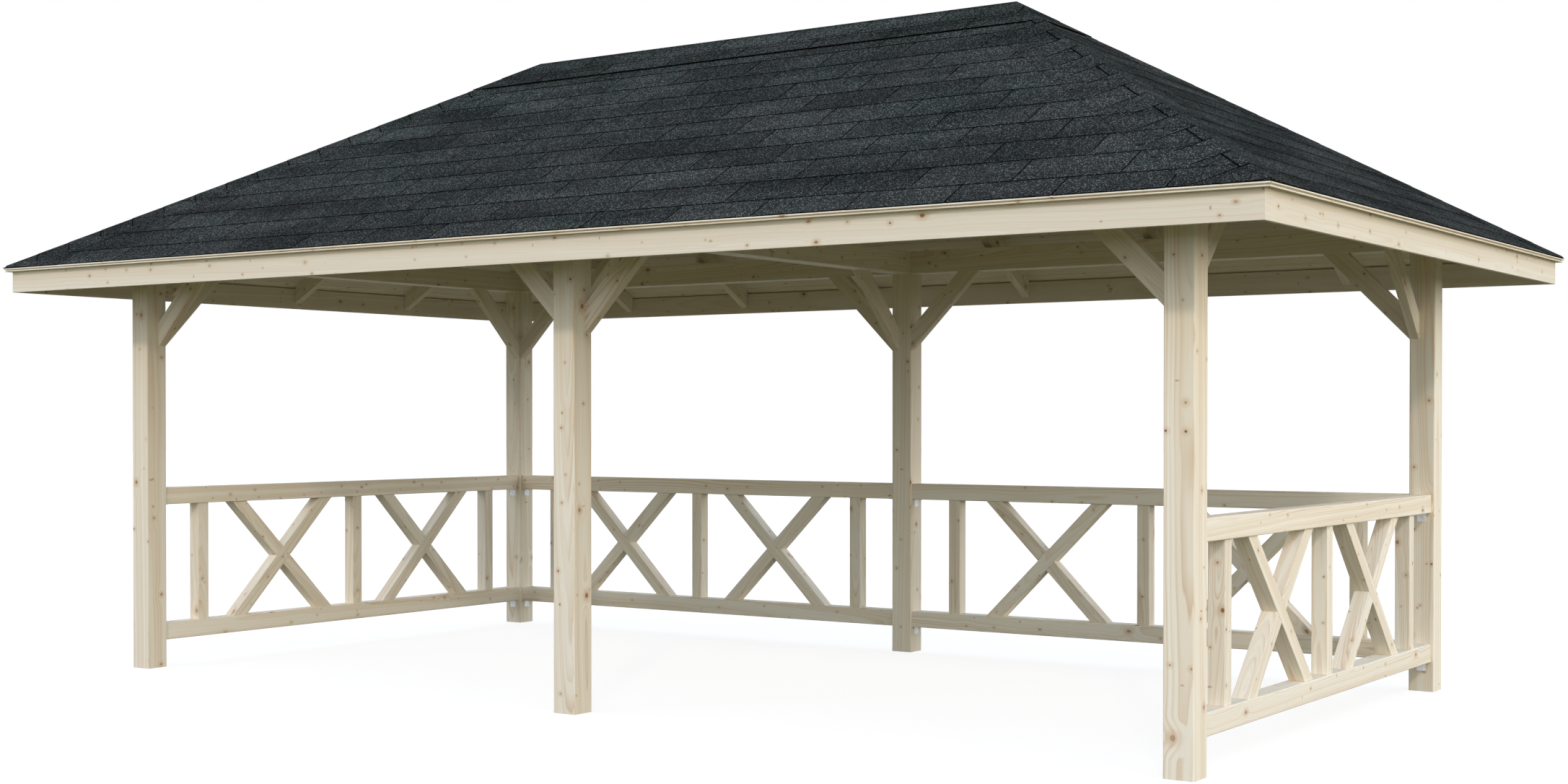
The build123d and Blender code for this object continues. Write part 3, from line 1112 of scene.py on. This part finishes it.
def screw_head(base, axis):
    """Points and faces of a domed screw head with a sunk drive."""
    side = axis.orthogonal().normalized()
    third = axis.cross(side)
    points, faces = [], []
    for radius_share, height_share in screw_ring_shares:
        for number in range(screw_sides):
            angle = 2 * math.pi * number / screw_sides
            spoke = side * math.cos(angle) + third * math.sin(angle)
            points.append(base + spoke * screw_radius * radius_share + axis * screw_height * height_share)
    last = len(points) - screw_sides
    for low in range(0, last, screw_sides):
        high = low + screw_sides
        for number in range(screw_sides):
            after = (number + 1) % screw_sides
            faces.append([low + number, low + after, high + after, high + number])
    faces.append([last + number for number in range(screw_sides)])
    faces.append(list(range(screw_sides))[::-1])
    return points, faces


def screw_places(solid_points):
    """Foot and direction of the four screws of one bracket, two on each leg."""
    low = Vector([min(point[place] for point in solid_points) for place in range(3)])
    high = Vector([max(point[place] for point in solid_points) for place in range(3)])
    size = high - low
    middle = (low + high) / 2
    foot = centre_of([point for point in solid_points if point.z < low.z + bracket_thickness])
    lean = foot - middle
    run = 0 if abs(lean.x) > abs(lean.y) else 1
    away = Vector((0, 0, 0))
    away[run] = -1.0 if lean[run] > 0 else 1.0
    wall = middle - away * (size[run] / 2 - bracket_thickness)
    ceiling = middle + straight_up * (size.z / 2 - bracket_thickness)
    spread = straight_up.cross(away) * size[1 - run] * screw_spread_share
    legs = ((wall, away), (ceiling, -straight_up))
    return [(base + spread * turn, axis) for base, axis in legs for turn in (-1, 1)]


def dress_brackets():
    """Zinc on the CAD's angle brackets, with two screws in each leg."""
    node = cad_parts["rail_brackets"]
    node.data.materials.clear()
    node.data.materials.append(zinc)
    points, faces = [], []
    for solid in solids_of("rail_brackets"):
        for base, axis in screw_places(solid[0]):
            head_points, head_faces = screw_head(base, axis)
            faces.extend([len(points) + place for place in face] for face in head_faces)
            points.extend(head_points)
    mesh = bpy.data.meshes.new("bracket_screws")
    mesh.from_pydata(points, [], faces)
    add_piece("bracket_screws", mesh, zinc, "bracket")


def add_lamp(name, azimuth, elevation, size, strength, colour):
    """A distant lamp, its azimuth counted from the front towards the right."""
    light = bpy.data.lights.new(name, "SUN")
    light.energy = strength
    light.color = colour
    light.angle = math.radians(size)
    lamp = bpy.data.objects.new(name, light)
    lamp.rotation_euler = (math.pi / 2 - math.radians(elevation), 0, math.radians(azimuth))
    bpy.context.scene.collection.objects.link(lamp)


def add_world():
    """White to the eye, and a dome of light on the object that is bluer towards its top."""
    world = bpy.data.worlds.new("studio")
    world.use_nodes = True
    graph = Graph(world.node_tree)
    seen = seen_by_eye(graph)
    white = graph.node("ShaderNodeBackground", {"Color": studio_white, "Strength": 1.0}).outputs[0]
    height = graph.parts(graph.node("ShaderNodeTexCoord").outputs["Generated"])[2]
    colour = graph.mix(graph.span(height, *dome_blend), dome_low, dome_high)
    dome = graph.node("ShaderNodeBackground", {"Color": colour, "Strength": 1.0}).outputs[0]
    shown = graph.node("ShaderNodeMixShader", {0: seen, 1: dome, 2: white}).outputs[0]
    graph.node("ShaderNodeOutputWorld", {0: shown})
    bpy.context.scene.world = world


def add_floor():
    """The studio floor under the posts."""
    corners = rectangle(-floor_reach, floor_reach, -floor_reach, floor_reach)
    mesh = bpy.data.meshes.new("floor")
    mesh.from_pydata([(x, y, 0) for x, y in corners], [], [(0, 1, 2, 3)])
    mesh.materials.append(floor_material())
    floor = bpy.data.objects.new("floor", mesh)
    bpy.context.scene.collection.objects.link(floor)


def add_camera():
    """The camera that the photograph was matched with."""
    lens = bpy.data.cameras.new("camera")
    lens.sensor_width = camera_sensor
    lens.lens = camera_lens
    lens.shift_x, lens.shift_y = camera_shift
    camera = bpy.data.objects.new("camera", lens)
    camera.location = camera_place
    camera.rotation_euler = (math.radians(camera_pitch), 0, math.radians(camera_yaw))
    bpy.context.scene.collection.objects.link(camera)
    bpy.context.scene.camera = camera


bpy.context.scene.view_settings.view_transform = "Standard"
spruce = spruce_material()
shingle = shingle_material()
zinc = zinc_material()

# Timbers, from the CAD's own solids
for row in ("front", "back"):
    for column in ("left", "middle", "right"):
        dress_timber(f"post_{row}_{column}")
for side in ("front", "back", "left", "middle", "right"):
    dress_timber("beam_" + side)
    dress_timber("braces_" + side)
for panel in ("left", "right", "back_left", "back_right"):
    dress_timber(f"railing_{panel}_rails")
for side in ("front", "back", "left", "right"):
    dress_timber("rafters_" + side, ease=board_arris)
    # the fascia's lower tones are painted shade under the eave
    dress_timber("fascia_" + side, fascia_shaded_looks, board_arris)
dress_timber("ridge_board", ease=board_arris)
dress_timber("hip_rafters", ease=board_arris)

# Railing infill: each panel's axis, and the way its through diagonals lean
for panel, run_place, lean in (("left", 1, 1), ("right", 1, -1), ("back_left", 0, -1), ("back_right", 0, 1)):
    dress_infill(panel, run_place, lean)

# Roof cover
slopes = [Slope("front", (0, -1), eave_depth, ridge_half), Slope("right", (1, 0), eave_length, -ridge_half),
          Slope("back", (0, 1), eave_depth, ridge_half), Slope("left", (-1, 0), eave_length, -ridge_half)]
for slope in slopes:
    dress_deck(slope)
    dress_shingles(slope)
dress_hips(slopes)
dress_ridge_cap(slopes)
dress_brackets()

# Studio
add_world()
for name, settings in lamps.items():
    add_lamp(name, *settings)
add_floor()
add_camera()
